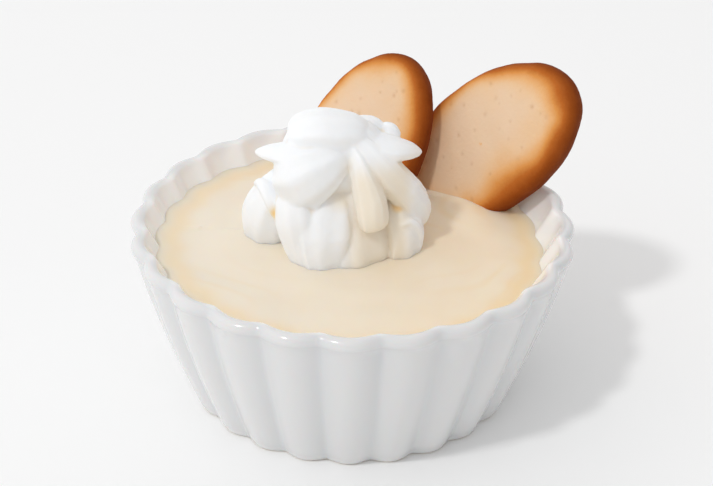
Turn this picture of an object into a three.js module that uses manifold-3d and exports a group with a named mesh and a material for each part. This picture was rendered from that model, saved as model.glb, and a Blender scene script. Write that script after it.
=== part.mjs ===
// A fluted porcelain ramekin of vanilla custard, topped with a piped rosette of chantilly cream
// and two oval butter biscuits that stand in the custard behind it.
// Millimetres, +Z up. The origin is the middle of the foot, on the table. The front is -Y.
import * as THREE from 'three';
import { mergeVertices } from 'three/addons/utils/BufferGeometryUtils.js';
import Module from 'manifold-3d';

const wasm = await Module();
wasm.setup();

// ---- driving dimensions -------------------------------------------------------------------

const CLEARANCE = 0.35; // gap left between neighbouring solids

const BOWL = {
  height: 42.5,
  rimRadius: 51.9, // middle of the wave at the widest part of the lip
  baseRadius: 39.1, // middle of the wave at the table
  wall: 5.2,
  wallThinning: 0.5, // how much thinner the wall is under the lip
  thinningHeight: 8,
  lipWidth: 3.4,
  lipDrop: 4, // height of the rounded lip above the fluted wall
  lipOverhang: 0.9,
  flare: 7, // how far below the lip's top the inner wall begins to open towards it
  belly: 0.9, // how far the wall swells out halfway up
  floor: 4.6,
  floorCorner: 5, // height of the rounded corner between the floor and the inner wall
  footInner: 32.5, // the glazed hollow under the foot
  footHollow: 1.1,
  footEdge: 0.7, // width of the rounded edge that meets the table
  flutes: 24,
  fluteDepth: 1.5, // crest to groove on the outside
  innerFluteDepth: 1.1,
  fluteMiddle: 0.6, // how much of the wave lies inside the mean radius
  stepsPerFlute: 6,
};

const CUSTARD = {
  level: 35.7, // at the middle of the bowl
  tilt: 1.3, // higher at the left wall and lower at the right wall by this much
  swirl: { height: 0.35, pitch: 44, turns: 1.5, across: 100, along: 70 }, // left by the spoon
  rise: { at: [31, 17], height: 2.3, spread: 12 }, // where the right biscuit was pushed in
  stepsPerFlute: 4,
  rings: [1, 0.94, 0.78, 0.58, 0.38, 0.18, 0], // of corners in the surface, from wall to middle
};

const BISCUIT = { length: 56, width: 33, thickness: 6, edge: 2.6, dome: 0.9, sides: 36, edgeSteps: 5 };

// Each biscuit: its middle, then in degrees how far its face turns to the left, how far it leans
// back and how far its long axis tips to the right.
const BISCUITS = {
  biscuit_left: { at: [1.2, 33.7, 41.5], turn: 35, lean: 26, tip: 15 },
  biscuit_right: { at: [33.8, 25.6, 49.7], turn: 45, lean: 20, tip: 43 },
};

const CREAM = {
  centre: [-4, 4],
  sides: 12, // round a fold
  steps: 10, // along a fold
};

// The folds of the rosette, from the heart of it and the piped lobes at its foot to the fold that
// closes it. Each runs along stations of [azimuth in degrees from the front towards the right,
// distance from the rosette's axis, height over the custard, half its width, half its depth].
// Its depth faces the azimuth facing, or straight up, and taper goes from 0.5 for a full round end
// over 1 for an oval to 2 for a drawn-out point. edge is above 0 for keen edges at both sides of
// the fold, and below 0 for a ridge down its front.
const FOLDS = [
  // the heart
  {
    stations: [[0, 1, -6, 16, 12.5], [0, 1, 7, 15.5, 11.6], [0, 0, 19, 14.5, 9.4]],
    facing: 0, taper: 0.8,
  },
  { stations: [[0, 0, 10, 13, 9], [0, 0, 20, 13, 9], [0, 0, 31, 12, 9]], facing: 0, taper: 0.8 },
  // lobes at the foot: front left, front right, right, the back and left
  {
    stations: [[-9, 12.8, -6, 5.2, 6.4], [-22, 11, 5, 9, 6.6], [-36, 5.5, 16, 9, 5]],
    facing: -24, taper: 0.65, edge: -0.5,
  },
  {
    stations: [[52, 9.8, -6, 10.5, 5], [48, 11.4, 1.5, 10.5, 5], [40, 9.4, 10, 8.5, 4]],
    facing: 47, taper: 0.6, edge: -0.3,
  },
  {
    stations: [[69, 15.6, -6, 7.2, 5.2], [76, 16, 4, 7, 5.4], [84, 11, 13, 6, 4.5]],
    facing: 78, taper: 0.65, edge: -0.4,
  },
  {
    stations: [[138, 14, -6, 8, 6], [134, 13, 5, 8, 6], [124, 10, 17, 8, 6]],
    facing: 134, taper: 0.7, edge: -0.4,
  },
  {
    stations: [[-176, 10, -6, 8, 6], [180, 10, 5, 8, 6], [170, 8, 17, 8, 6]],
    facing: 180, taper: 0.7, edge: -0.4,
  },
  {
    stations: [[-128, 14, -6, 8, 6], [-132, 13.5, 5, 8, 6], [-142, 10, 17, 8, 6]],
    facing: -132, taper: 0.7, edge: -0.4,
  },
  {
    stations: [[-94, 15.6, -6, 6.6, 6.5], [-91, 16, 5, 7.6, 6.5], [-90, 11.4, 17, 7.4, 5.6]],
    facing: -90, taper: 0.7, edge: -0.3,
  },
  // the broad petal that hangs over the front left lobe, and the ridges right of it
  {
    stations: [[22, 6.5, 24.6, 5, 4.8], [-47, 10, 19.6, 8.4, 6.6], [-78, 12.8, 17, 8.2, 6]],
    facing: -44, taper: 0.6, edge: 0.5,
  },
  {
    stations: [
      [30, 7, 26.5, 1.2, 2.5],
      [34, 10.6, 21, 2.5, 3.4],
      [38, 13, 15, 3.9, 4],
      [37, 15.4, 8.2, 5.2, 4.2],
    ],
    facing: 37, taper: 0.5, edge: -0.4,
  },
  {
    stations: [
      [42, 4, 28, 4, 4],
      [62, 12, 21, 4.4, 4.2],
      [84, 18.1, 10.6, 4.8, 4.2],
      [96, 20, 3, 5, 4.4],
    ],
    facing: 70, taper: 0.65, edge: -0.5,
  },
  // the root of the petal, where it runs down into the front left lobe
  {
    stations: [[-58, 11, 17, 5, 5], [-44, 12.2, 9, 5.8, 5.8], [-16, 12.4, -6, 4.4, 6.2]],
    facing: -36, taper: 0.7,
  },
  // folds at the back
  {
    stations: [[120, 7, 25.5, 6.5, 5], [128, 10, 18, 6.5, 5], [136, 13, 6, 6.5, 5]],
    facing: 128, taper: 0.8, edge: -0.5,
  },
  {
    stations: [[174, 5, 28, 7, 5], [180, 8, 18, 7, 5], [186, 10, 6, 7, 5]],
    facing: 180, taper: 0.8, edge: -0.5,
  },
  {
    stations: [[-134, 8, 28, 7, 5], [-130, 11, 18, 7, 5], [-126, 14, 6, 7, 5]],
    facing: -130, taper: 0.8, edge: -0.5,
  },
  // thin lips drawn out to points at the left and right, and the ridge behind the right one
  {
    stations: [
      [10, 3, 27, 4, 1.6],
      [-30, 5, 26.2, 5, 1.8],
      [-64, 10, 24.4, 6, 2.6],
      [-87, 19.2, 22.6, 4.5, 2.4],
    ],
    facing: 'up', taper: 1.1,
  },
  {
    stations: [[60, 6, 26, 5, 2.5], [84, 12, 24.5, 6, 2.4], [100, 20.3, 21.2, 4.5, 2.2]],
    facing: 'up', taper: 1.2,
  },
  {
    stations: [[180, 6, 24.6, 3.6, 3.6], [124, 9, 24, 3.6, 3.6], [104, 16.5, 21.4, 3, 3]],
    facing: 60, taper: 0.8,
  },
  // the fold that closes the rosette
  {
    stations: [[-90, 11.4, 26, 6.2, 8], [-90, 3, 26.8, 6.2, 8.5], [90, 7.5, 26.4, 6, 8]],
    facing: 0, taper: 0.6, edge: 0.25,
  },
];

// ---- helpers ------------------------------------------------------------------------------

const radians = THREE.MathUtils.degToRad;
const { lerp, smoothstep } = THREE.MathUtils;

// A closed geometry whose shared corners are one vertex, without the empty faces at the poles.
function weld(geometry) {
  geometry.deleteAttribute('normal');
  geometry.deleteAttribute('uv');
  const merged = mergeVertices(geometry, 1e-3);
  const corners = merged.index.array;
  const kept = [];
  for (let i = 0; i < corners.length; i += 3) {
    const [a, b, c] = [corners[i], corners[i + 1], corners[i + 2]];
    if (a !== b && b !== c && c !== a) kept.push(a, b, c);
  }
  merged.setIndex(kept);
  return merged;
}

function toSolid(geometry) {
  const welded = weld(geometry);
  return new wasm.Manifold(new wasm.Mesh({
    numProp: 3,
    vertProperties: welded.attributes.position.array,
    triVerts: new Uint32Array(welded.index.array),
  }));
}

function toGeometry(solid) {
  const mesh = solid.getMesh();
  const geometry = new THREE.BufferGeometry();
  geometry.setAttribute('position', new THREE.BufferAttribute(mesh.vertProperties, 3));
  geometry.setIndex(new THREE.BufferAttribute(mesh.triVerts, 1));
  geometry.computeVertexNormals();
  return geometry;
}

function moveVertices(geometry, move) {
  const position = geometry.attributes.position;
  const point = new THREE.Vector3();
  for (let i = 0; i < position.count; i++) {
    point.fromBufferAttribute(position, i);
    move(point);
    position.setXYZ(i, point.x, point.y, point.z);
  }
  return geometry;
}

// Turns a profile of [radius, height] points about the Z axis.
function turned(profile, segments) {
  const points = profile.map(([radius, height]) => new THREE.Vector2(radius, height));
  return new THREE.LatheGeometry(points, segments).rotateX(Math.PI / 2);
}

// ---- the bowl -----------------------------------------------------------------------------

// 1 on the crest of a flute and 0 in the groove beside it. A crest faces the front.
function fluteWave(x, y) {
  const across = (Math.atan2(x, -y) * BOWL.flutes) / (2 * Math.PI);
  const fromCrest = across - Math.round(across);
  return 1 - (2 * fromCrest) ** 2;
}

const wallTop = BOWL.height - BOWL.lipDrop;

function outerRadius(height) {
  const rise = height / wallTop;
  const straight = lerp(BOWL.baseRadius, BOWL.rimRadius - BOWL.lipOverhang, rise);
  return straight + 4 * BOWL.belly * rise * (1 - rise);
}

function innerRadius(height) {
  const thinning = BOWL.wallThinning * smoothstep(height, wallTop - BOWL.thinningHeight, wallTop);
  return outerRadius(height) - BOWL.wall + thinning;
}

// Pushes each point of a turned shape in or out with the flutes. They are softer on the inside
// of the wall, and fade out under the foot and on the floor.
function fluted(geometry) {
  return moveVertices(geometry, (point) => {
    const radius = Math.hypot(point.x, point.y);
    const strength = smoothstep(radius, BOWL.footInner + 1, BOWL.baseRadius - 1);
    if (strength === 0) return;
    const outwards = smoothstep(radius - outerRadius(point.z), 0.5 - BOWL.wall, -0.5);
    const depth = lerp(BOWL.innerFluteDepth, BOWL.fluteDepth, outwards) * strength;
    const shift = depth * (fluteWave(point.x, point.y) - BOWL.fluteMiddle);
    point.x *= 1 + shift / radius;
    point.y *= 1 + shift / radius;
  });
}

// The rounded lip, from under its outer edge over the top to where the inner wall slopes down.
function lipProfile() {
  const middle = BOWL.rimRadius - BOWL.lipWidth / 2;
  const steps = 6;
  const points = [];
  for (let i = 0; i <= steps; i++) {
    const angle = radians(lerp(-45, 150, i / steps));
    points.push([
      middle + (BOWL.lipWidth / 2) * Math.cos(angle),
      BOWL.height - BOWL.lipWidth / 2 + (BOWL.lipWidth / 2) * Math.sin(angle),
    ]);
  }
  return points;
}

// The rounded corner between the floor and the inner wall, or a gap inside it.
function floorCorner(gap = 0) {
  const rise = BOWL.floorCorner;
  const bend = 0.3 * rise;
  return [
    [innerRadius(BOWL.floor) - rise - gap, BOWL.floor + gap],
    [innerRadius(BOWL.floor) - bend - 2 * gap, BOWL.floor + bend + gap],
    [innerRadius(BOWL.floor + rise) - gap, BOWL.floor + rise],
  ];
}

function makeBowl() {
  const wallRows = [0.04, 0.33, 0.66, 1];
  const profile = [
    [0, BOWL.footHollow],
    [BOWL.footInner, BOWL.footHollow],
    [BOWL.footInner + 1, 0],
    [BOWL.baseRadius - BOWL.footEdge, 0],
    ...wallRows.map((rise) => [outerRadius(rise * wallTop), rise * wallTop]),
    ...lipProfile(),
    [innerRadius(BOWL.height - BOWL.flare), BOWL.height - BOWL.flare],
    ...floorCorner().reverse(),
    [0, BOWL.floor],
  ];
  return fluted(turned(profile, BOWL.flutes * BOWL.stepsPerFlute));
}

// ---- the custard --------------------------------------------------------------------------

function custardHeight(x, y) {
  const { swirl, rise, tilt, level } = CUSTARD;
  const spiral = (2 * Math.PI * Math.hypot(x, y)) / swirl.pitch + swirl.turns * Math.atan2(y, x);
  const fading = Math.cos(2 * Math.PI * (x / swirl.across - y / swirl.along));
  const fromRise = Math.hypot(x - rise.at[0], y - rise.at[1]) / rise.spread;
  const sideways = (tilt * x) / innerRadius(level);
  const wave = swirl.height * Math.sin(spiral) * fading;
  return level - sideways + wave + rise.height * Math.exp(-(fromRise ** 2));
}

// raise lifts the surface, to cut what lies on it with a gap.
function makeCustard(raise = 0) {
  const edge = (height) => innerRadius(height) - CLEARANCE;
  const sink = 6; // from the surface down to the next row of corners
  const profile = [
    [0, BOWL.floor + CLEARANCE],
    ...floorCorner(CLEARANCE),
    [edge(CUSTARD.level - sink), CUSTARD.level - sink],
    ...CUSTARD.rings.map((share) => [edge(CUSTARD.level) * share, CUSTARD.level]),
  ];
  const geometry = fluted(turned(profile, BOWL.flutes * CUSTARD.stepsPerFlute));
  return moveVertices(geometry, (point) => {
    if (point.z < CUSTARD.level - 1) return;
    const surface = custardHeight(point.x, point.y);
    const spread = edge(surface) / edge(CUSTARD.level);
    point.set(point.x * spread, point.y * spread, surface + raise);
  });
}

// ---- the biscuits -------------------------------------------------------------------------

// An oval disc with a browned rounded edge and a slightly domed face. grow adds to all sides.
function biscuitGeometry(grow = 0) {
  const half = BISCUIT.thickness / 2 + grow;
  const radius = BISCUIT.length / 2 + grow;
  const profile = [[0, -half]];
  for (let i = 0; i <= BISCUIT.edgeSteps; i++) {
    const angle = (Math.PI * i) / BISCUIT.edgeSteps - Math.PI / 2;
    profile.push([radius - BISCUIT.edge * (1 - Math.cos(angle)), half * Math.sin(angle)]);
  }
  profile.push([0, half + BISCUIT.dome]);
  const narrowing = (BISCUIT.width + 2 * grow) / (BISCUIT.length + 2 * grow);
  return turned(profile, BISCUIT.sides).scale(1, narrowing, 1);
}

// The place of a biscuit: its long axis lies along its own X and its pale face looks along +Z.
function biscuitPlace({ at, turn, lean, tip }) {
  const facing = new THREE.Vector3(
    -Math.sin(radians(turn)) * Math.cos(radians(lean)),
    -Math.cos(radians(turn)) * Math.cos(radians(lean)),
    Math.sin(radians(lean)),
  );
  const right = new THREE.Vector3(Math.cos(radians(turn)), -Math.sin(radians(turn)), 0);
  const up = new THREE.Vector3().crossVectors(facing, right);
  const along = right.clone().multiplyScalar(Math.sin(radians(tip)));
  along.addScaledVector(up, Math.cos(radians(tip)));
  const across = new THREE.Vector3().crossVectors(facing, along);
  const place = new THREE.Matrix4().makeBasis(along, across, facing);
  return place.setPosition(...at);
}

function placedBiscuit(name, grow = 0) {
  return biscuitGeometry(grow).applyMatrix4(biscuitPlace(BISCUITS[name]));
}

function custardRoundBiscuits() {
  const cutters = Object.keys(BISCUITS).map((name) => toSolid(placedBiscuit(name, CLEARANCE)));
  return cutters.reduce((rest, cutter) => rest.subtract(cutter), toSolid(makeCustard()));
}

// ---- the chantilly rosette ----------------------------------------------------------------

// A point given by its azimuth, its distance from the rosette's axis and its height over the
// custard.
function creamPoint(azimuth, distance, height) {
  return new THREE.Vector3(
    CREAM.centre[0] + distance * Math.sin(radians(azimuth)),
    CREAM.centre[1] - distance * Math.cos(radians(azimuth)),
    CUSTARD.level + height,
  );
}

// A soft roll of cream: a closed tube along a smooth path, as wide and deep as its stations say.
function foldGeometry({ stations, facing, taper, edge = 0 }) {
  const path = new THREE.CatmullRomCurve3(stations.map((station) => creamPoint(...station)));
  const front = facing === 'up'
    ? new THREE.Vector3(0, 0, 1)
    : creamPoint(facing, 1, 0.3).sub(creamPoint(0, 0, 0));
  const tube = new THREE.SphereGeometry(1, CREAM.sides, CREAM.steps);
  const parts = stations.length - 1;
  return moveVertices(tube, (point) => {
    const along = (1 - point.y) / 2;
    const part = Math.min(Math.floor(along * parts), parts - 1);
    const [, , , width, depth] = stations[part].map(
      (size, i) => lerp(size, stations[part + 1][i], along * parts - part),
    );
    const round = Math.max(Math.hypot(point.x, point.z), 1e-6);
    const [sideways, forwards] = [point.x / round, point.z / round];
    const middle = path.getPoint(along);
    const tangent = path.getTangent(along);
    const outward = front.clone().addScaledVector(tangent, -front.dot(tangent)).normalize();
    const side = new THREE.Vector3().crossVectors(outward, tangent);
    const across = sideways * Math.abs(sideways) ** Math.max(-edge, 0);
    const ahead = forwards * Math.abs(forwards) ** Math.max(edge, 0);
    middle.addScaledVector(side, across * width * round ** taper);
    middle.addScaledVector(outward, ahead * depth * round ** taper);
    point.copy(middle);
  });
}

// The folds run into one another, and the rosette is cut to lie on the custard and to stay off
// the biscuit behind it.
function makeCream() {
  const folds = FOLDS.map((fold) => toSolid(foldGeometry(fold)));
  const whole = folds.reduce((joined, fold) => joined.add(fold));
  const cutters = [toSolid(makeCustard(CLEARANCE)), toSolid(placedBiscuit('biscuit_left', CLEARANCE))];
  return cutters.reduce((rest, cutter) => rest.subtract(cutter), whole);
}

// ---- assembly -----------------------------------------------------------------------------

const group = new THREE.Group();

function addPiece(name, geometry, color, roughness) {
  const material = new THREE.MeshStandardMaterial({ color, roughness, metalness: 0 });
  const mesh = new THREE.Mesh(geometry, material);
  mesh.name = name;
  group.add(mesh);
}

addPiece('bowl', makeBowl(), 0xe6e2de, 0.2);
addPiece('custard', toGeometry(custardRoundBiscuits()), 0xecdcc0, 0.45);
for (const name of Object.keys(BISCUITS)) {
  addPiece(name, placedBiscuit(name), 0xdca878, 0.75);
}
addPiece('whipped_cream', toGeometry(makeCream()), 0xf4f2ec, 0.5);

export default group;
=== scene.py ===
# A fluted porcelain ramekin of vanilla custard with a piped rosette of chantilly cream and two
# oval butter biscuits. Sizes are in millimetres and are made metres where a mesh is written.
import math

import bpy
import numpy as np
from mathutils import Matrix, Vector, noise


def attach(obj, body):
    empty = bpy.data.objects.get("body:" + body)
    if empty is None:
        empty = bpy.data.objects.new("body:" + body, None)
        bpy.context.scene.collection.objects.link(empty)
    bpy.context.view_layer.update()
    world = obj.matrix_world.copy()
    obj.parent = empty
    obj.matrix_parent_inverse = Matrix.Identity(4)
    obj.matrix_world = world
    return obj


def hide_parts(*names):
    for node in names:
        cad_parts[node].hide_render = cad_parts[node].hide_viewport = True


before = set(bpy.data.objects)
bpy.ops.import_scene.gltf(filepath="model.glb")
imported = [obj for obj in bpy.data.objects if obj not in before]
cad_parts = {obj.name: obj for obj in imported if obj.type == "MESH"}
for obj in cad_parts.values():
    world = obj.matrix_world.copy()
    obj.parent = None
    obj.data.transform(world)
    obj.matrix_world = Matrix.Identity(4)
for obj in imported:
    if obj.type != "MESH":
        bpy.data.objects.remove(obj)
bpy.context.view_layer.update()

MM = 0.001

# ---- sizes ----------------------------------------------------------------------------------

# The wall is thinner over the last stretch below its lip, and its inside opens towards the lip over
# the height called flare. The lip is an arc between two angles, in degrees from straight out.
# The flutes lie inside the plain wall by their middle share and outside it by the rest.
BOWL = {
    "height": 42.5,
    "rim_radius": 51.9,
    "base_radius": 39.1,
    "wall": 5.2,
    "wall_thinning": 0.5,
    "thinning_height": 8,
    "lip_width": 3.4,
    "lip_drop": 4,
    "lip_overhang": 0.9,
    "lip_arc": (-38, 152),
    "flare": 7,
    "belly": 0.9,
    "floor": 4.6,
    "floor_corner": 5,
    "foot_inner": 32.5,
    "foot_hollow": 1.1,
    "foot_edge": 0.7,
    "flutes": 24,
    "flute_depth": 1.5,
    "inner_flute_depth": 1.1,
    "flute_middle": 0.6,
    "groove_softness": 0.16,
    "steps_per_flute": 20,
}
WALL_TOP = BOWL["height"] - BOWL["lip_drop"]
WALL_FOOT = BOWL["floor"] + 6

# The surface is tilted to the right, raised where the right biscuit was pushed in, and creeps up
# the wall. A band of deeper colour a little in from the wall, and a fainter line along it, paint
# the wall's shade on the custard.
CUSTARD = {
    "bottom_gap": 0.2,
    "level": 35.7,
    "tilt": 1.3,
    "rise_at": (31, 17),
    "rise_height": 2.3,
    "rise_spread": 12,
    "into_wall": 0.8,
    "meniscus": 0.35,
    "meniscus_width": 1.2,
    "band_middle": 4,
    "band_width": 2.8,
    "wall_line": 0.7,
    "wall_line_width": 2,
    "calm_edge": 5,
    "rings": 110,
    "steps_per_flute": 12,
}

# The spoon's marks in the custard: broad waves and narrower streaks, which noise bends and which
# wind round the rosette. They begin at one distance from its axis and are full at another.
SWIRL = {
    "wave_width": 17,
    "wave_bend": 9,
    "wave_turn": 0.6,
    "wave_height": 0.2,
    "streak_width": 7,
    "streak_bend": 14,
    "streak_turn": -0.7,
    "streak_stretch": 0.8,
    "begins": 15,
    "full": 22,
}

# The edge is how wide a biscuit's rounded rim is, and the dome how far its pale face rises. The
# voxel is the grain of its mesh, and noise and pores then dent its skin by their depths.
BISCUIT = {
    "length": 56,
    "width": 33,
    "thickness": 6,
    "edge": 2.6,
    "dome": 0.9,
    "unevenness": 0.004,
    "sides": 200,
    "voxel": 0.36,
    "pores": 34,
    "pore_depth": 0.22,
    "crumb_depth": 0.04,
    "lump_depth": 0.2,
}

# How far in from the rim a biscuit is brown on its paler side, the side that is golden and how far
# in it is so, and how brown its underside is.
BROWNING = {
    "thin_band": 1.1,
    "golden_side": 152,
    "golden_band": 3.2,
    "underside": 0.42,
}

# The middle of each biscuit, then in degrees how far its face turns to the left, how far it leans
# back and how far its long axis tips to the right.
BISCUITS = {
    "biscuit_left": {"at": (1.2, 33.7, 41.5), "turn": 35, "lean": 26, "tip": 15},
    "biscuit_right": {"at": (33.8, 25.6, 49.7), "turn": 45, "lean": 20, "tip": 43},
}

# The seed of each biscuit's noise, the side that is brownest, how far in from the rim it is so, and
# how far its skin is pushed out.
BAKED = {
    "biscuit_left": {"seed": 3, "brown_side": -78, "wide_band": 6.0, "swell": 0.4},
    "biscuit_right": {"seed": 8, "brown_side": -60, "wide_band": 7.2, "swell": 0.25},
}

# Where the rosette's axis stands, the grain of its mesh, and how far noise of two sizes moves its
# skin.
CREAM_CENTRE = (-4, 4)
CREAM_SURFACE = {"voxel": 0.34, "lump_depth": 0.25, "ripple_depth": 0.08}

# The folds of the rosette. Each has stations of (azimuth from the front towards the right,
# distance from the rosette's axis, height over the custard, half the width, half the depth), the
# way its depth faces, and its taper from 0.5 for a full round end to 1.5 for a drawn-out point.
# Some have an edge as well: above 0 for keen edges at both sides of the fold, below 0 for a ridge
# down its front.
UP = "up"
FOLDS = [
    # the heart
    (((0, 1, -6, 16, 12.5), (0, 1, 7, 15.5, 11.6), (0, 0, 19, 14.5, 9.4)), 0, 0.8),
    (((0, 0, 10, 13, 9), (0, 0, 20, 13, 9), (0, 0, 31, 12, 9)), 0, 0.8),
    # lobes at the foot: front left, front right, right, three at the back, and left
    (((-9, 12.8, -6, 5.2, 6.4), (-22, 11, 5, 9, 6.6), (-36, 5.5, 16, 9, 5)), -24, 0.65, -0.5),
    (((52, 9.8, -6, 10.5, 5), (48, 11.4, 1.5, 10.5, 5), (40, 9.4, 10, 8.5, 4)), 47, 0.6, -0.3),
    (((69, 15.6, -6, 7.2, 5.2), (76, 16, 4, 7, 5.4), (84, 11, 13, 6, 4.5)), 78, 0.65, -0.4),
    (((138, 14, -6, 8, 6), (134, 13, 5, 8, 6), (124, 10, 17, 8, 6)), 134, 0.7, -0.4),
    (((-176, 10, -6, 8, 6), (180, 10, 5, 8, 6), (170, 8, 17, 8, 6)), 180, 0.7, -0.4),
    (((-128, 14, -6, 8, 6), (-132, 13.5, 5, 8, 6), (-142, 10, 17, 8, 6)), -132, 0.7, -0.4),
    (((-94, 15.6, -6, 6.6, 6.5), (-91, 16, 5, 7.6, 6.5), (-90, 11.4, 17, 7.4, 5.6)), -90, 0.7, -0.3),
    # the broad petal that hangs over the front left lobe, and the ridges right of it
    (((22, 6.5, 24.6, 5, 4.8), (-47, 10, 19.6, 8.4, 6.6), (-78, 12.8, 17, 8.2, 6)), -44, 0.6, 0.5),
    (((30, 7, 26.5, 1.2, 2.5), (34, 10.6, 21, 2.5, 3.4), (38, 13, 15, 3.9, 4),
      (37, 15.4, 8.2, 5.2, 4.2)), 37, 0.5, -0.4),
    (((42, 4, 28, 4, 4), (62, 12, 21, 4.4, 4.2), (84, 18.1, 10.6, 4.8, 4.2), (96, 20, 3, 5, 4.4)),
     70, 0.65, -0.5),
    # the root of the petal, where it runs down into the front left lobe
    (((-58, 11, 17, 5, 5), (-44, 12.2, 9, 5.8, 5.8), (-16, 12.4, -6, 4.4, 6.2)), -36, 0.7),
    # folds at the back
    (((120, 7, 25.5, 6.5, 5), (128, 10, 18, 6.5, 5), (136, 13, 6, 6.5, 5)), 128, 0.8, -0.5),
    (((174, 5, 28, 7, 5), (180, 8, 18, 7, 5), (186, 10, 6, 7, 5)), 180, 0.8, -0.5),
    (((-134, 8, 28, 7, 5), (-130, 11, 18, 7, 5), (-126, 14, 6, 7, 5)), -130, 0.8, -0.5),
    # thin lips drawn out to points at the left and right, and the ridge behind the right one
    (((10, 3, 27, 4, 1.6), (-30, 5, 26.2, 5, 1.8), (-64, 10, 24.4, 6, 2.6),
      (-87, 19.2, 22.6, 4.5, 2.4)), UP, 1.1),
    (((60, 6, 26, 5, 2.5), (84, 12, 24.5, 6, 2.4), (100, 20.3, 21.2, 4.5, 2.2)), UP, 1.2),
    (((180, 6, 24.6, 3.6, 3.6), (124, 9, 24, 3.6, 3.6), (104, 16.5, 21.4, 3, 3)), 60, 0.8),
    # small frills: along the right ridge, on top of the left lobe and inside the right lobe
    (((140, 5, 28.4, 1.6, 2), (122, 9, 27.6, 1.8, 2), (112, 11.5, 26.8, 1.6, 1.8)), 60, 0.6),
    (((112, 11.5, 27.6, 1.2, 1.6), (108, 13.4, 26.2, 1.5, 1.7), (105, 15, 24.4, 1.3, 1.5)),
     60, 0.6),
    (((-92, 19, 13, 1.3, 1.8), (-80, 17.4, 15, 1.4, 1.8), (-66, 16.6, 13, 1.3, 1.8),
      (-57, 16, 8.6, 1.2, 1.8)), -75, 0.7),
    (((58, 15.6, 7, 1.1, 2), (66, 18, 7.6, 1.3, 2.2), (72, 19.6, 4.2, 1.3, 2.3),
      (75, 19.6, -2, 1.3, 2.3)), 70, 0.7),
    # the fold that closes the rosette
    (((-90, 11.4, 26, 6.2, 8), (-90, 3, 26.8, 6.2, 8.5), (90, 7.5, 26.4, 6, 8)), 0, 0.6, 0.25),
]

# Spots of painted light and shade on the cream: a painted custard glow in a gap and a hollow of
# the rosette, then warm painted shade under the petal, in a fold and under the tongue. Each has
# azimuth, distance, height, size and strength.
CREAM_PAINTED_SPOTS = [
    (-58, 16.6, 10.5, 1.8, 1),
    (66, 15.7, 11.3, 2.4, 0.95),
    (9, 9.6, 14.6, 3.4, 0.5),
    (20, 8.7, 22.4, 3, 0.35),
    (24, 14, 9, 2.6, 0.6),
]

# How strongly painted warm shade colours the cream: in its folds, more in the deepest ones, and
# low down at the front right, the side turned from the window.
CREAM_PAINTED_SHADE = {"folds": 0.4, "deep_folds": 0.18, "front_right": 0.52}

# The nozzle leaves fine ribs along each fold: how many there are round it, and how deep they are as
# a share of its size.
RIBS = {"count": 9, "depth": 0.035}

# The camera: its aim, its distance, how far it looks down, how far it is rolled, and its lens.
CAMERA = {"aim": (1.0, 0, 35.65), "distance": 381.94, "down": 30.8, "roll": 1.0, "lens": 80.8}

# The window in metres and watts, how bright the whole room is, and how much brighter it is towards
# each side: (axis, direction, share).
WINDOW = {"towards": (-0.52, -0.5, 1), "distance": 3.0, "size": 0.3, "power": 22.5}
ROOM_BASE = 0.07
ROOM_LIGHT = [("Z", 1, 0.51), ("Y", 1, 0.5), ("Y", -1, 0.34), ("X", 1, 0.22), ("X", -1, 0.65)]


# ---- helpers --------------------------------------------------------------------------------

def lerp(low, high, share):
    return low + (high - low) * share


def smoothstep(value, low, high):
    share = np.clip((value - low) / (high - low), 0, 1)
    return share * share * (3 - 2 * share)


def noise_at(points, scale=1.0, offset=(0, 0, 0)):
    """Smooth noise between -1 and 1 at each point."""
    return np.array([noise.noise(Vector(point) * scale + Vector(offset)) for point in points])


def deselect_all():
    if bpy.context.object and bpy.context.object.mode != "OBJECT":
        bpy.ops.object.mode_set(mode="OBJECT")
    bpy.ops.object.select_all(action="DESELECT")


def get_points(piece):
    """The corners of a piece's mesh in millimetres, one row each."""
    points = np.empty(len(piece.data.vertices) * 3)
    piece.data.vertices.foreach_get("co", points)
    return points.reshape(-1, 3) / MM


def set_points(piece, points):
    piece.data.vertices.foreach_set("co", (points * MM).ravel())
    piece.data.update()


def get_normals(piece):
    normals = np.empty(len(piece.data.vertices) * 3)
    piece.data.vertices.foreach_get("normal", normals)
    return normals.reshape(-1, 3)


def set_mask(piece, name, values):
    """Stores one number for each corner, which a material can read as an attribute."""
    attribute = piece.data.attributes.new(name, "FLOAT", "POINT")
    attribute.data.foreach_set("value", np.asarray(values, np.float32))


def apply_modifier(piece, kind, **settings):
    bpy.context.view_layer.objects.active = piece
    modifier = piece.modifiers.new(kind.lower(), kind)
    for key, value in settings.items():
        setattr(modifier, key, value)
    bpy.ops.object.modifier_apply(modifier=modifier.name)


def remesh(piece, voxel, smoothing):
    """One even skin over everything in a piece, smoothed a number of times."""
    apply_modifier(piece, "REMESH", mode="VOXEL", voxel_size=voxel * MM, use_smooth_shade=True)
    apply_modifier(piece, "SMOOTH", factor=0.5, iterations=smoothing)


def spun(name, profile, steps):
    """A closed skin: a profile of (radius, height) points, spun about the Z axis."""
    deselect_all()
    bpy.ops.mesh.primitive_plane_add(size=1)
    piece = bpy.context.object
    piece.name = piece.data.name = name
    bpy.ops.object.mode_set(mode="EDIT")
    bpy.ops.mesh.merge(type="CENTER")
    place = (0, 0)
    for index, (radius, height) in enumerate(profile):
        move = ((radius - place[0]) * MM, 0, (height - place[1]) * MM)
        if index:
            bpy.ops.mesh.extrude_region_move(TRANSFORM_OT_translate={"value": move})
        else:
            bpy.ops.transform.translate(value=move)
        place = (radius, height)
    bpy.ops.mesh.select_all(action="SELECT")
    bpy.ops.mesh.spin(steps=steps, angle=2 * math.pi, center=(0, 0, 0), axis=(0, 0, 1))
    bpy.ops.mesh.select_all(action="SELECT")
    bpy.ops.mesh.remove_doubles(threshold=0.001 * MM)
    bpy.ops.mesh.normals_make_consistent(inside=False)
    bpy.ops.object.mode_set(mode="OBJECT")
    bpy.ops.object.shade_smooth()
    return piece


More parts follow.
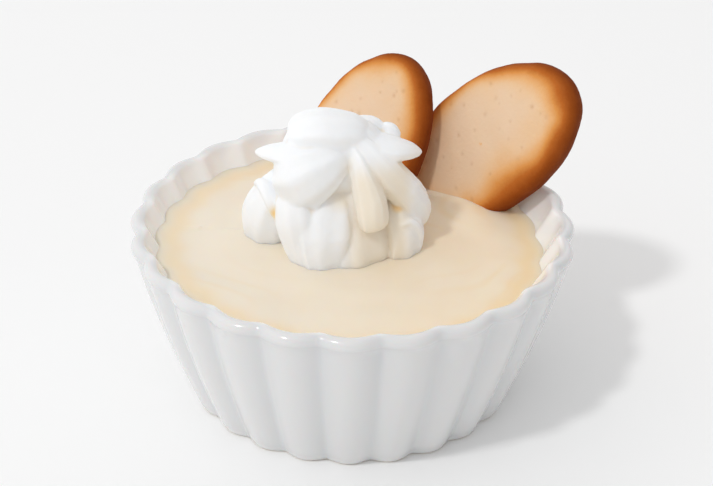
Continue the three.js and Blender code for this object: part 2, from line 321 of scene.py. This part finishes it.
def arc(middle, radii, start, end, steps):
    """Points of (radius, height) on an arc, with its angles in degrees."""
    angles = [math.radians(lerp(start, end, step / steps)) for step in range(steps + 1)]
    return [
        (middle[0] + radii[0] * math.cos(angle), middle[1] + radii[1] * math.sin(angle))
        for angle in angles
    ]


def stretch(low, high, steps):
    """Evenly spaced numbers after low, up to and with high."""
    return [lerp(low, high, (step + 1) / steps) for step in range(steps)]


# ---- materials ------------------------------------------------------------------------------

class Shader:
    """A material's nodes, added one after another."""

    def __init__(self, tree):
        self.tree = tree

    def add(self, kind, inputs=None, **settings):
        node = self.tree.nodes.new(kind)
        for key, value in settings.items():
            setattr(node, key, value)
        for socket, value in (inputs or {}).items():
            if isinstance(value, bpy.types.NodeSocket):
                self.tree.links.new(value, node.inputs[socket])
            else:
                node.inputs[socket].default_value = value
        return node

    def mask(self, name):
        """The numbers that set_mask stored under this name."""
        return self.add("ShaderNodeAttribute", attribute_name=name).outputs["Fac"]

    def place(self, axis):
        """The place along one axis of the object's own coordinates, in metres."""
        where = self.add("ShaderNodeTexCoord").outputs["Object"]
        return self.add("ShaderNodeSeparateXYZ", {"Vector": where}).outputs[axis]

    def mix(self, share, first, second):
        node = self.add("ShaderNodeMix", data_type="RGBA")
        sockets = (node.inputs[0], node.inputs[6], node.inputs[7])
        for socket, value in zip(sockets, (share, first, second)):
            if isinstance(value, bpy.types.NodeSocket):
                self.tree.links.new(value, socket)
            else:
                socket.default_value = value
        return node.outputs[2]

    def remap(self, value, low, high, to_low=0.0, to_high=1.0):
        inputs = {
            "Value": value,
            "From Min": low,
            "From Max": high,
            "To Min": to_low,
            "To Max": to_high,
        }
        return self.add("ShaderNodeMapRange", inputs).outputs["Result"]

    def math(self, operation, first, second=0.0):
        return self.add("ShaderNodeMath", {0: first, 1: second}, operation=operation).outputs[0]

    def ramp(self, value, stops):
        node = self.add("ShaderNodeValToRGB", {"Fac": value})
        elements = node.color_ramp.elements
        while len(elements) < len(stops):
            elements.new(0.5)
        for element, (position, colour) in zip(elements, stops):
            element.position = position
            element.color = colour
        return node.outputs["Color"]


def srgb(red, green, blue):
    """A colour given in 0 to 255 as the eye sees it, in the light that a shader works with."""
    def linear(value):
        value /= 255
        return value / 12.92 if value <= 0.04045 else ((value + 0.055) / 1.055) ** 2.4

    return (linear(red), linear(green), linear(blue), 1)


def new_material(name, **settings):
    """A material with a Principled shader whose plain sockets are set by their names."""
    material = bpy.data.materials.new(name)
    material.use_nodes = True
    shader = Shader(material.node_tree)
    surface = material.node_tree.nodes["Principled BSDF"]
    for key, value in settings.items():
        surface.inputs[key.replace("_", " ").title().replace("Ior", "IOR")].default_value = value
    return material, shader, surface


def fine_relief_group():
    """Noise of two sizes on the object's own coordinates, as a height and a mask."""
    tree = bpy.data.node_groups.new("fine_relief", "ShaderNodeTree")
    for name in ("Coarse Scale", "Fine Scale", "Fine Share"):
        tree.interface.new_socket(name, in_out="INPUT", socket_type="NodeSocketFloat")
    for name in ("Height", "Mask"):
        tree.interface.new_socket(name, in_out="OUTPUT", socket_type="NodeSocketFloat")
    shader = Shader(tree)
    given = shader.add("NodeGroupInput").outputs
    where = shader.add("ShaderNodeTexCoord").outputs["Object"]
    coarse, fine = (
        shader.add("ShaderNodeTexNoise", {"Vector": where, "Scale": scale, "Detail": detail})
        for scale, detail in ((given["Coarse Scale"], 2.0), (given["Fine Scale"], 3.0))
    )
    share = shader.math("MULTIPLY", fine.outputs["Fac"], given["Fine Share"])
    height = shader.math("ADD", coarse.outputs["Fac"], share)
    shader.add("NodeGroupOutput", {"Height": height, "Mask": coarse.outputs["Fac"]})
    return tree


RELIEF = fine_relief_group()


def relief(shader, coarse, fine, share):
    node = shader.add("ShaderNodeGroup", node_tree=RELIEF)
    node.inputs["Coarse Scale"].default_value = coarse
    node.inputs["Fine Scale"].default_value = fine
    node.inputs["Fine Share"].default_value = share
    return node.outputs


def connect(shader, surface, colour, rough, height, depth, strength):
    """Gives a surface its colour and roughness, and a relief of a height and a depth."""
    inputs = {"Height": height, "Distance": depth * MM, "Strength": strength}
    normal = shader.add("ShaderNodeBump", inputs).outputs["Normal"]
    for socket, value in (("Base Color", colour), ("Roughness", rough), ("Normal", normal)):
        shader.tree.links.new(value, surface.inputs[socket])


def porcelain_material():
    """White glaze over a bare ring, with painted light inside and painted shade in the grooves."""
    material, shader, surface = new_material(
        "glazed_porcelain", ior=1.5, subsurface_weight=0.12, subsurface_scale=2 * MM,
        coat_weight=0.35, coat_roughness=0.06,
    )
    bare = shader.remap(shader.place("Z"), 0.45 * MM, 0.2 * MM)
    noise_out = relief(shader, 55, 420, 0.15)
    patches = shader.remap(noise_out["Mask"], 0.35, 0.75, 0, 0.2)
    # painted shade darkens the glaze in the flutes' grooves, and painted light whitens it inside
    glaze = shader.mix(shader.mask("groove"), srgb(226, 226, 226), srgb(219, 220, 221))
    glaze = shader.mix(shader.mask("inside"), glaze, srgb(249, 249, 248))
    glaze = shader.mix(patches, glaze, srgb(228, 226, 223))
    colour = shader.mix(bare, glaze, srgb(214, 205, 192))
    rough = shader.remap(noise_out["Mask"], 0.3, 0.7, 0.13, 0.2)
    rough = shader.math("MAXIMUM", rough, shader.remap(bare, 0, 1, 0, 0.8))
    connect(shader, surface, colour, rough, noise_out["Height"], 0.12, 0.5)
    return material


def custard_material():
    """Smooth translucent custard, deeper in streaks, with a painted sheen paler to the left and
    painted shade near the wall, which painted bounce makes stronger to the right.
    """
    material, shader, surface = new_material(
        "vanilla_custard", ior=1.42, subsurface_weight=0.45, subsurface_scale=3 * MM,
        subsurface_radius=(1.0, 0.75, 0.4),
    )
    sideways = shader.place("X")
    # painted sheen: the custard is paler towards the left, the side the window lights
    painted_sheen_left = shader.remap(sideways, 20 * MM, -42 * MM, 0, 0.8)
    # painted bounce: the painted wall shade below grows stronger towards the right
    painted_warm_bounce = shader.remap(sideways, -30 * MM, 42 * MM, 0.6, 0.9)
    streak = shader.math("MULTIPLY", shader.mask("streak"), 0.45)
    # painted shade of the wall: deeper colour in a band in from it and a line along it
    edge = shader.math("MULTIPLY", shader.mask("edge"), painted_warm_bounce)
    noise_out = relief(shader, 70, 500, 0.3)
    patches = shader.remap(noise_out["Mask"], 0.3, 0.7)
    colour = shader.mix(patches, srgb(243, 229, 206), srgb(240, 223, 197))
    colour = shader.mix(painted_sheen_left, colour, srgb(238, 229, 214))
    colour = shader.mix(streak, colour, srgb(238, 212, 168))
    colour = shader.mix(edge, colour, srgb(242, 217, 176))
    rough = shader.remap(noise_out["Mask"], 0.3, 0.7, 0.32, 0.46)
    connect(shader, surface, colour, rough, noise_out["Height"], 0.1, 0.5)
    return material


def cream_material():
    """Whipped cream, soft and moist, with warm shade and glow painted on where the mask says."""
    material, shader, surface = new_material(
        "chantilly_cream", ior=1.4, subsurface_weight=0.6, subsurface_scale=3.5 * MM,
        subsurface_radius=(1.0, 0.92, 0.84),
    )
    noise_out = relief(shader, 160, 1500, 0.4)
    painted_glow_and_shade = shader.mask("painted_glow_and_shade")
    patches = shader.remap(noise_out["Mask"], 0.3, 0.7)
    colour = shader.mix(patches, srgb(247, 250, 254), srgb(244, 247, 251))
    # painted warm shade where the mask is weak, and a painted custard glow where it is strong
    colour = shader.mix(shader.remap(painted_glow_and_shade, 0, 0.6), colour, srgb(241, 230, 212))
    colour = shader.mix(shader.remap(painted_glow_and_shade, 0.6, 1), colour, srgb(244, 209, 140))
    rough = shader.remap(noise_out["Mask"], 0.3, 0.7, 0.42, 0.58)
    connect(shader, surface, colour, rough, noise_out["Height"], 0.12, 0.6)
    return material


def biscuit_material():
    """A pale baked face that browns towards its edge, with a fine dry crumb."""
    material, shader, surface = new_material(
        "butter_biscuit", ior=1.45, subsurface_weight=0.08, subsurface_scale=1.0 * MM,
        subsurface_radius=(1.0, 0.5, 0.25), specular_ior_level=0.12,
    )
    noise_out = relief(shader, 260, 1600, 0.6)
    uneven = shader.remap(noise_out["Height"], 0.5, 1.1, -0.03, 0.03)
    baked = shader.math("ADD", shader.mask("browning"), uneven)
    colour = shader.ramp(baked, [
        (0.0, srgb(234, 204, 173)),
        (0.14, srgb(235, 198, 158)),
        (0.3, srgb(232, 179, 123)),
        (0.48, srgb(219, 148, 77)),
        (0.66, srgb(186, 103, 38)),
        (0.84, srgb(152, 75, 20)),
        (1.0, srgb(122, 54, 12)),
    ])
    # painted shade: a browner colour in the pores
    pores = shader.math("MULTIPLY", shader.mask("pore"), 0.35)
    colour = shader.mix(pores, colour, srgb(186, 132, 84))
    rough = shader.remap(noise_out["Mask"], 0.3, 0.7, 0.62, 0.8)
    connect(shader, surface, colour, rough, noise_out["Height"], 0.14, 0.7)
    return material


def floor_material():
    """A plain pale tabletop."""
    material, shader, surface = new_material("pale_table", roughness=0.85)
    patches = shader.remap(relief(shader, 3, 20, 0.2)["Mask"], 0.3, 0.7)
    colour = shader.mix(patches, srgb(250, 250, 250), srgb(249, 249, 249))
    shader.tree.links.new(colour, surface.inputs["Base Color"])
    return material


def finish_piece(piece, material, node):
    piece.data.materials.clear()
    piece.data.materials.append(material)
    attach(piece, "root")
    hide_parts(node)


# ---- the bowl -------------------------------------------------------------------------------

def outer_radius(height):
    rise = height / WALL_TOP
    straight = lerp(BOWL["base_radius"], BOWL["rim_radius"] - BOWL["lip_overhang"], rise)
    return straight + 4 * BOWL["belly"] * rise * (1 - rise)


def inner_radius(height):
    thinner = smoothstep(height, WALL_TOP - BOWL["thinning_height"], WALL_TOP)
    return outer_radius(height) - BOWL["wall"] + BOWL["wall_thinning"] * thinner


def flute_wave(points):
    """1 on the crest of each flute and 0 in the rounded groove beside it."""
    turn = np.arctan2(points[:, 0], -points[:, 1]) * BOWL["flutes"] / 2
    soft = BOWL["groove_softness"]
    wave = np.sqrt(np.cos(turn) ** 2 + soft ** 2) - soft
    return wave / (math.sqrt(1 + soft ** 2) - soft)


def fluted(points):
    """Moves points in or out with the flutes, which fade under the foot and on the floor."""
    radius = np.hypot(points[:, 0], points[:, 1])
    strength = smoothstep(radius, BOWL["foot_inner"] + 1, BOWL["base_radius"] - 1)
    outwards = smoothstep(radius - outer_radius(points[:, 2]), 0.5 - BOWL["wall"], -0.5)
    depth = lerp(BOWL["inner_flute_depth"], BOWL["flute_depth"], outwards) * strength
    shift = depth * (flute_wave(points) - BOWL["flute_middle"])
    scale = 1 + shift / np.maximum(radius, 1e-6)
    return points * np.stack([scale, scale, np.ones(len(points))], axis=1)


def floor_corner(gap=0.0, steps=6):
    """The rounded corner between the floor and the inner wall, or a gap inwards from it."""
    size = BOWL["floor_corner"]
    top = BOWL["floor"] + size
    points = []
    for step in range(steps + 1):
        angle = math.radians(90 * step / steps)
        inwards = size * (1 - math.sin(angle))
        wall = lerp(inner_radius(BOWL["floor"]), inner_radius(top), step / steps)
        height = top - size * math.cos(angle)
        points.append((wall - inwards - gap, height + gap * (1 - step / steps)))
    return points


def foot_profile():
    """From the middle of the hollow underside, over the foot ring, to its rounded outer edge."""
    hollow, inner, edge = BOWL["foot_hollow"], BOWL["foot_inner"], BOWL["foot_edge"]
    corner = (BOWL["base_radius"] - edge, edge)
    profile = [(0, hollow)]
    profile += [(radius, hollow) for radius in stretch(0, inner - 0.6, 6)]
    profile += arc((inner - 0.2, hollow / 2), (0.5, hollow / 2), 75, -60, 4)
    profile += [(radius, 0) for radius in stretch(inner + 0.8, corner[0], 4)]
    profile += arc(corner, (edge, edge), -75, -5, 5)
    return profile


def wall_profile():
    """Up the outside, over the lip and down the inside, which opens towards the lip."""
    lip_radius = BOWL["lip_width"] / 2
    lip_middle = (BOWL["rim_radius"] - lip_radius, BOWL["height"] - lip_radius)
    outside = stretch(BOWL["foot_edge"], WALL_TOP - 0.4, 26)
    profile = [(outer_radius(height), height) for height in outside]
    profile += arc(lip_middle, (lip_radius, lip_radius), *BOWL["lip_arc"], 20)
    lip_end = profile[-1]
    flare_foot = BOWL["height"] - BOWL["flare"]
    profile += [
        (lerp(lip_end[0], inner_radius(flare_foot), share), lerp(lip_end[1], flare_foot, share))
        for share in stretch(0, 1, 8)
    ]
    profile += [(inner_radius(height), height) for height in stretch(flare_foot, WALL_FOOT, 14)]
    return profile


def make_bowl():
    profile = foot_profile() + wall_profile() + floor_corner()[::-1]
    profile += [(radius, BOWL["floor"]) for radius in stretch(profile[-1][0], 0, 6)]
    piece = spun("fluted_ramekin", profile, BOWL["flutes"] * BOWL["steps_per_flute"])
    points = fluted(get_points(piece))
    set_points(piece, points)
    from_outside = outer_radius(points[:, 2]) - np.hypot(points[:, 0], points[:, 1])
    over_foot = points[:, 2] > BOWL["foot_hollow"] + 1
    # masks for the painted shade in the grooves and the painted light inside the bowl
    set_mask(piece, "groove", 1 - flute_wave(points))
    set_mask(piece, "inside", smoothstep(from_outside, 1.5, 3.5) * over_foot)
    finish_piece(piece, porcelain_material(), "bowl")


# ---- the custard ----------------------------------------------------------------------------

def custard_height(points):
    """How high the surface is, higher at the left wall and round the right biscuit."""
    x, y = points[:, 0], points[:, 1]
    sideways = CUSTARD["tilt"] * x / inner_radius(CUSTARD["level"])
    away = np.hypot(x - CUSTARD["rise_at"][0], y - CUSTARD["rise_at"][1]) / CUSTARD["rise_spread"]
    return CUSTARD["level"] - sideways + CUSTARD["rise_height"] * np.exp(-away ** 2)


def custard_swirl(points):
    """The spoon's marks: the height of the broad waves, and a mask of the streaks in patches."""
    x, y = points[:, 0] - CREAM_CENTRE[0], points[:, 1] - CREAM_CENTRE[1]
    distance = np.hypot(x, y)
    around = np.arctan2(y, x)
    level = np.zeros(len(points))
    bend = noise_at(np.stack([x * 0.05, y * 0.05, level + 2], axis=1))
    patchy = noise_at(np.stack([x * 0.035 + 5, y * 0.06, level + 0.5], axis=1))
    turns = (distance + SWIRL["wave_bend"] * bend) * 2 * math.pi / SWIRL["wave_width"]
    waves = np.sin(turns + SWIRL["wave_turn"] * around)
    turns = distance * SWIRL["streak_stretch"] + SWIRL["streak_bend"] * bend
    turns = turns * 2 * math.pi / SWIRL["streak_width"]
    streaks = np.clip(np.sin(turns + SWIRL["streak_turn"] * around), 0, 1) ** 2
    fade = smoothstep(distance, SWIRL["begins"], SWIRL["full"])
    return SWIRL["wave_height"] * waves * fade, fade * np.clip(1.5 * patchy + 0.25, 0, 1) * streaks


def custard_blank():
    """The custard as a plain body with a level top, which reaches a little into the wall."""
    level, into_wall = CUSTARD["level"], CUSTARD["into_wall"]
    bottom = BOWL["floor"] + CUSTARD["bottom_gap"]
    profile = [(0, bottom)]
    profile += [(radius, bottom) for radius in stretch(0, 26, 3)]
    profile += floor_corner(-into_wall)
    profile += [
        (inner_radius(height) + into_wall, height) for height in stretch(WALL_FOOT, level, 10)
    ]
    reach = inner_radius(level) + into_wall
    profile += [(radius, level) for radius in stretch(reach, 0, CUSTARD["rings"])]
    return spun("vanilla_custard", profile, BOWL["flutes"] * CUSTARD["steps_per_flute"]), reach


def make_custard():
    piece, reach = custard_blank()
    points = get_points(piece)
    top = points[:, 2] > CUSTARD["level"] - 0.01
    share = np.hypot(points[:, 0], points[:, 1]) / reach
    points = fluted(points)
    inwards = (1 - share) * reach
    height = custard_height(points)
    waves, streak = custard_swirl(points)
    calm = smoothstep(inwards, 0, CUSTARD["calm_edge"])
    creep = CUSTARD["meniscus"] * np.exp(-inwards / CUSTARD["meniscus_width"])
    surface = height + waves * calm + creep
    points[:, 2] = np.where(top, surface, points[:, 2])
    # where the surface is higher or lower, the wall round it is wider or narrower
    spread = inner_radius(surface) / inner_radius(CUSTARD["level"])
    points[top, :2] *= lerp(spread, 1, smoothstep(inwards, 0, 8))[top, None]
    set_points(piece, points)
    # painted shade of the wall: a band of deeper colour in from it and a line along it
    band = np.exp(-((inwards - CUSTARD["band_middle"]) / CUSTARD["band_width"]) ** 2)
    line = CUSTARD["wall_line"] * np.exp(-inwards / CUSTARD["wall_line_width"])
    set_mask(piece, "edge", np.where(top, np.maximum(band, line), 1))
    set_mask(piece, "streak", np.where(top, streak * calm, 0))
    finish_piece(piece, custard_material(), "custard")


# ---- the rosette ----------------------------------------------------------------------------

def cream_point(azimuth, distance, height):
    turn = math.radians(azimuth)
    return np.array([
        CREAM_CENTRE[0] + distance * math.sin(turn),
        CREAM_CENTRE[1] - distance * math.cos(turn),
        CUSTARD["level"] + height,
    ])


def smooth_path(stations):
    """A smooth curve through the stations, as a function from 0 to 1 to (point, width, depth)."""
    corners = [cream_point(*station[:3]) for station in stations]
    corners = [2 * corners[0] - corners[1]] + corners + [2 * corners[-1] - corners[-2]]
    gaps = [max(np.linalg.norm(b - a) ** 0.5, 1e-6) for a, b in zip(corners, corners[1:])]
    times = np.concatenate([[0], np.cumsum(gaps)])
    parts = len(stations) - 1

    def at(share):
        part = min(int(share * parts), parts - 1)
        inside = share * parts - part
        t0, t1, t2, t3 = times[part:part + 4]
        p0, p1, p2, p3 = corners[part:part + 4]
        time = lerp(t1, t2, inside)

        def blend(start, end, first, second):
            return (end - time) / (end - start) * first + (time - start) / (end - start) * second

        middle = blend(t1, t2, p1, p2)
        early = blend(t0, t2, blend(t0, t1, p0, p1), middle)
        late = blend(t1, t3, middle, blend(t2, t3, p2, p3))
        sizes = lerp(np.array(stations[part][3:]), np.array(stations[part + 1][3:]), inside)
        return blend(t1, t2, early, late), sizes[0], sizes[1]

    return at


def make_fold(stations, facing, taper, edge=0):
    """A soft roll of cream along a smooth path, drawn out of a sphere."""
    deselect_all()
    bpy.ops.mesh.primitive_uv_sphere_add(segments=48, ring_count=36, radius=MM)
    piece = bpy.context.object
    at = smooth_path(stations)
    if facing == UP:
        front = np.array([0, 0, 1.0])
    else:
        front = cream_point(facing, 1, 0.3) - cream_point(0, 0, 0)
    points = get_points(piece)
    rings = {}
    for index, (x, y, z) in enumerate(points):
        level = round(z, 4)
        if level not in rings:
            along = (1 - z) / 2
            middle, width, depth = at(along)
            tangent = at(min(along + 0.001, 1))[0] - at(max(along - 0.001, 0))[0]
            tangent /= np.linalg.norm(tangent)
            outward = front - front.dot(tangent) * tangent
            outward /= np.linalg.norm(outward)
            full = max(math.hypot(x, y), 1e-6) ** taper
            side = np.cross(outward, tangent) * width * full
            rings[level] = (middle, side, outward * depth * full)
        middle, side, outward = rings[level]
        ring = max(math.hypot(x, y), 1e-6)
        sideways, forwards = x / ring, y / ring
        rib = 1 + RIBS["depth"] * math.cos(RIBS["count"] * math.atan2(forwards, sideways))
        sideways *= abs(sideways) ** max(-edge, 0)
        forwards *= abs(forwards) ** max(edge, 0)
        points[index] = middle + (side * sideways + outward * forwards) * rib
    set_points(piece, points)
    return piece


def creases(piece):
    """How deep in a fold each point lies, in millimetres that a smoother copy fills."""
    deselect_all()
    piece.select_set(True)
    bpy.context.view_layer.objects.active = piece
    bpy.ops.object.duplicate()
    copy = bpy.context.object
    apply_modifier(copy, "SMOOTH", factor=0.9, iterations=60)
    filled = ((get_points(copy) - get_points(piece)) * get_normals(piece)).sum(axis=1)
    bpy.data.objects.remove(copy)
    return filled


def paint_cream_light(piece):
    """Painted warm shade in folds and at the front right, and painted spots of glow and shade."""
    points = get_points(piece)
    filled = creases(piece)
    over = points[:, 2] - CUSTARD["level"]
    painted_glow_and_shade = CREAM_PAINTED_SHADE["folds"] * smoothstep(filled, 0.15, 0.6)
    painted_glow_and_shade += CREAM_PAINTED_SHADE["deep_folds"] * smoothstep(filled, 0.5, 1.2)
    # painted shade low on the front right, the side turned from the window
    right = smoothstep(points[:, 0], -4, 2) * smoothstep(-points[:, 0], -16, -11)
    low = smoothstep(-over, -27, -20) * smoothstep(-points[:, 1], -8, -2)
    painted_glow_and_shade = np.maximum(painted_glow_and_shade, CREAM_PAINTED_SHADE["front_right"] * right * low)
    # painted spots of custard glow and warm shade
    for azimuth, distance, height, size, strength in CREAM_PAINTED_SPOTS:
        away = np.linalg.norm(points - cream_point(azimuth, distance, height), axis=1) / size
        painted_glow_and_shade = np.maximum(painted_glow_and_shade, strength * np.exp(-away ** 2))
    return np.clip(painted_glow_and_shade, 0, 1)


def make_rosette():
    folds = [make_fold(*fold) for fold in FOLDS]
    deselect_all()
    for fold in folds:
        fold.select_set(True)
    piece = folds[0]
    bpy.context.view_layer.objects.active = piece
    bpy.ops.object.join()
    piece.name = piece.data.name = "chantilly_rosette"
    bpy.ops.object.mode_set(mode="EDIT")
    bpy.ops.mesh.select_all(action="SELECT")
    bpy.ops.mesh.remove_doubles(threshold=0.001 * MM)
    bpy.ops.mesh.normals_make_consistent(inside=False)
    bpy.ops.object.mode_set(mode="OBJECT")
    remesh(piece, CREAM_SURFACE["voxel"], 4)
    points = get_points(piece)
    normals = get_normals(piece)
    lumps = CREAM_SURFACE["lump_depth"] * noise_at(points, 0.16)
    ripples = CREAM_SURFACE["ripple_depth"] * noise_at(points, 0.55, (7, 3, 1))
    points += normals * (lumps + ripples)[:, None]
    set_points(piece, points)
    # painted glow and shade on the cream
    set_mask(piece, "painted_glow_and_shade", paint_cream_light(piece))
    finish_piece(piece, cream_material(), "whipped_cream")


# ---- the biscuits ---------------------------------------------------------------------------

def biscuit_place(at, turn, lean, tip):
    """A biscuit's long axis lies along its own X and its pale face looks along its own +Z."""
    turn, lean, tip = (math.radians(angle) for angle in (turn, lean, tip))
    level = math.cos(lean)
    face = Vector((-math.sin(turn) * level, -math.cos(turn) * level, math.sin(lean)))
    right = Vector((math.cos(turn), -math.sin(turn), 0))
    up = face.cross(right)
    along = right * math.sin(tip) + up * math.cos(tip)
    across = face.cross(along)
    place = Matrix((along, across, face)).transposed().to_4x4()
    place.translation = Vector(at)
    return place


def biscuit_blank(name, seed):
    """An oval disc with a rounded edge, a slightly domed face and an outline not quite even."""
    half = BISCUIT["thickness"] / 2
    long_radius = BISCUIT["length"] / 2
    shoulder = long_radius - BISCUIT["edge"]
    profile = [(0, -half)]
    profile += [(radius, -half) for radius in stretch(0, shoulder, 24)]
    profile += arc((shoulder, 0), (BISCUIT["edge"], half), -90, 90, 14)[1:]
    profile += [
        (radius, half + BISCUIT["dome"] * (1 - (radius / shoulder) ** 2))
        for radius in stretch(shoulder, 0, 30)
    ]
    piece = spun(name, profile, BISCUIT["sides"])
    points = get_points(piece)
    around = np.arctan2(points[:, 1], points[:, 0])
    share = np.hypot(points[:, 0], points[:, 1]) / long_radius
    uneven = np.sin(5 * around + seed)
    uneven += 0.8 * np.sin(9 * around + 2 * seed)
    uneven += 0.6 * np.sin(14 * around + 3 * seed)
    points[:, :2] *= (1 + BISCUIT["unevenness"] * share * uneven / 2.4)[:, None]
    points[:, 1] *= BISCUIT["width"] / BISCUIT["length"]
    set_points(piece, points)
    remesh(piece, BISCUIT["voxel"], 8)
    return piece


def biscuit_browning(points, seed, brown_side, wide_band):
    """How brown the biscuit has baked: most at its rim, and further in on its brown side."""
    half = BISCUIT["thickness"] / 2
    x, y = points[:, 0] / (BISCUIT["length"] / 2), points[:, 1] / (BISCUIT["width"] / 2)
    share = np.hypot(x, y)
    distance = np.hypot(points[:, 0], points[:, 1])
    from_rim = np.clip(1 - share, 0, 1) * distance / np.maximum(share, 0.05)
    around = np.arctan2(points[:, 1], points[:, 0])
    side = np.cos(around - math.radians(brown_side))
    golden = np.clip(np.cos(around - math.radians(BROWNING["golden_side"])), 0, 1)
    wobble = 1 + 0.35 * noise_at(points, 0.15, (seed, 0, 0))
    band = lerp(BROWNING["thin_band"], wide_band, (side + 1) / 2) * wobble
    band = band + BROWNING["golden_band"] * golden ** 3
    browning = np.exp(-(from_rim / band) ** 1.3)
    side_wall = smoothstep(half * 0.7 - points[:, 2], 0, half)
    underside = BROWNING["underside"] * smoothstep(-points[:, 2], -0.5, half * 0.9)
    return np.clip(browning * lerp(0.92, 1.05, side_wall) + underside * (1 - browning), 0, 1)


def biscuit_pores(points, normals, rng):
    """A few fine pores on both faces, as a mask."""
    pores = np.zeros(len(points))
    flat = np.abs(normals[:, 2]) > 0.5
    for _ in range(BISCUIT["pores"]):
        angle = rng.uniform(0, 2 * math.pi)
        where = math.sqrt(rng.uniform(0, 0.75)) / 2
        x = points[:, 0] - math.cos(angle) * where * BISCUIT["length"]
        y = points[:, 1] - math.sin(angle) * where * BISCUIT["width"]
        away = np.hypot(x, y) / rng.uniform(0.25, 0.6)
        pores = np.maximum(pores, np.exp(-away ** 2) * flat * rng.uniform(0.4, 1))
    return pores


def make_biscuit(name, node, material, seed, brown_side, wide_band, swell):
    piece = biscuit_blank(name, seed)
    points = get_points(piece)
    normals = get_normals(piece)
    browning = biscuit_browning(points, seed, brown_side, wide_band)
    pores = biscuit_pores(points, normals, np.random.default_rng(seed))
    crumb = BISCUIT["crumb_depth"] * noise_at(points, 1.1, (0, seed, 0))
    lumps = BISCUIT["lump_depth"] * noise_at(points, 0.2, (0, 0, seed))
    points += normals * (crumb + lumps - BISCUIT["pore_depth"] * pores + swell)[:, None]
    set_points(piece, points)
    set_mask(piece, "browning", browning)
    # the pore mask also carries the pores' painted shade
    set_mask(piece, "pore", pores)
    place = biscuit_place(**BISCUITS[node])
    place.translation *= MM
    piece.data.transform(place)
    finish_piece(piece, material, node)


# ---- stage ----------------------------------------------------------------------------------

def make_floor():
    deselect_all()
    bpy.ops.mesh.primitive_plane_add(size=6)
    table = bpy.context.object
    table.name = table.data.name = "table"
    table.data.materials.append(floor_material())


def make_camera():
    down, roll = math.radians(CAMERA["down"]), math.radians(CAMERA["roll"])
    forward = Vector((0, math.cos(down), -math.sin(down)))
    right, up = Vector((1, 0, 0)), Vector((0, math.sin(down), math.cos(down)))
    rolled_right = right * math.cos(roll) + up * math.sin(roll)
    rolled_up = up * math.cos(roll) - right * math.sin(roll)
    place = Matrix((rolled_right, rolled_up, -forward)).transposed().to_4x4()
    place.translation = (Vector(CAMERA["aim"]) - forward * CAMERA["distance"]) * MM
    bpy.ops.object.camera_add()
    camera = bpy.context.object
    camera.matrix_world = place
    camera.data.lens = CAMERA["lens"]
    camera.data.sensor_width = 36
    camera.data.clip_start = 0.01
    bpy.context.scene.camera = camera


def make_window():
    """A small bright window at the front left, over the bowl and aimed at it."""
    deselect_all()
    bpy.ops.object.light_add(type="AREA")
    lamp = bpy.context.object
    lamp.name = "window"
    lamp.data.shape = "DISK"
    lamp.data.size = WINDOW["size"]
    lamp.data.energy = WINDOW["power"]
    direction = Vector(WINDOW["towards"]).normalized()
    lamp.location = direction * WINDOW["distance"] + Vector((0, 0, 0.03))
    lamp.rotation_euler = direction.to_track_quat("Z", "Y").to_euler()


def make_room():
    """A soft white room that is lightest at the left, above and behind."""
    world = bpy.data.worlds.new("studio")
    bpy.context.scene.world = world
    world.use_nodes = True
    shader = Shader(world.node_tree)
    way = shader.add("ShaderNodeTexCoord").outputs["Generated"]
    axes = shader.add("ShaderNodeSeparateXYZ", {"Vector": way}).outputs
    strength = ROOM_BASE
    for axis, sign, share in ROOM_LIGHT:
        towards = shader.math("MAXIMUM", shader.math("MULTIPLY", axes[axis], sign), 0)
        strength = shader.math("ADD", shader.math("MULTIPLY", towards, share), strength)
    background = world.node_tree.nodes["Background"]
    background.inputs["Color"].default_value = (1, 1, 1, 1)
    world.node_tree.links.new(strength, background.inputs["Strength"])
    bpy.context.scene.view_settings.view_transform = "Standard"


# ---- the whole ------------------------------------------------------------------------------

make_camera()
make_window()
make_room()
make_floor()
make_bowl()
make_custard()
make_rosette()
baked_crust = biscuit_material()
for node, baked in BAKED.items():
    make_biscuit(f"butter_{node}", node, baked_crust, **baked)
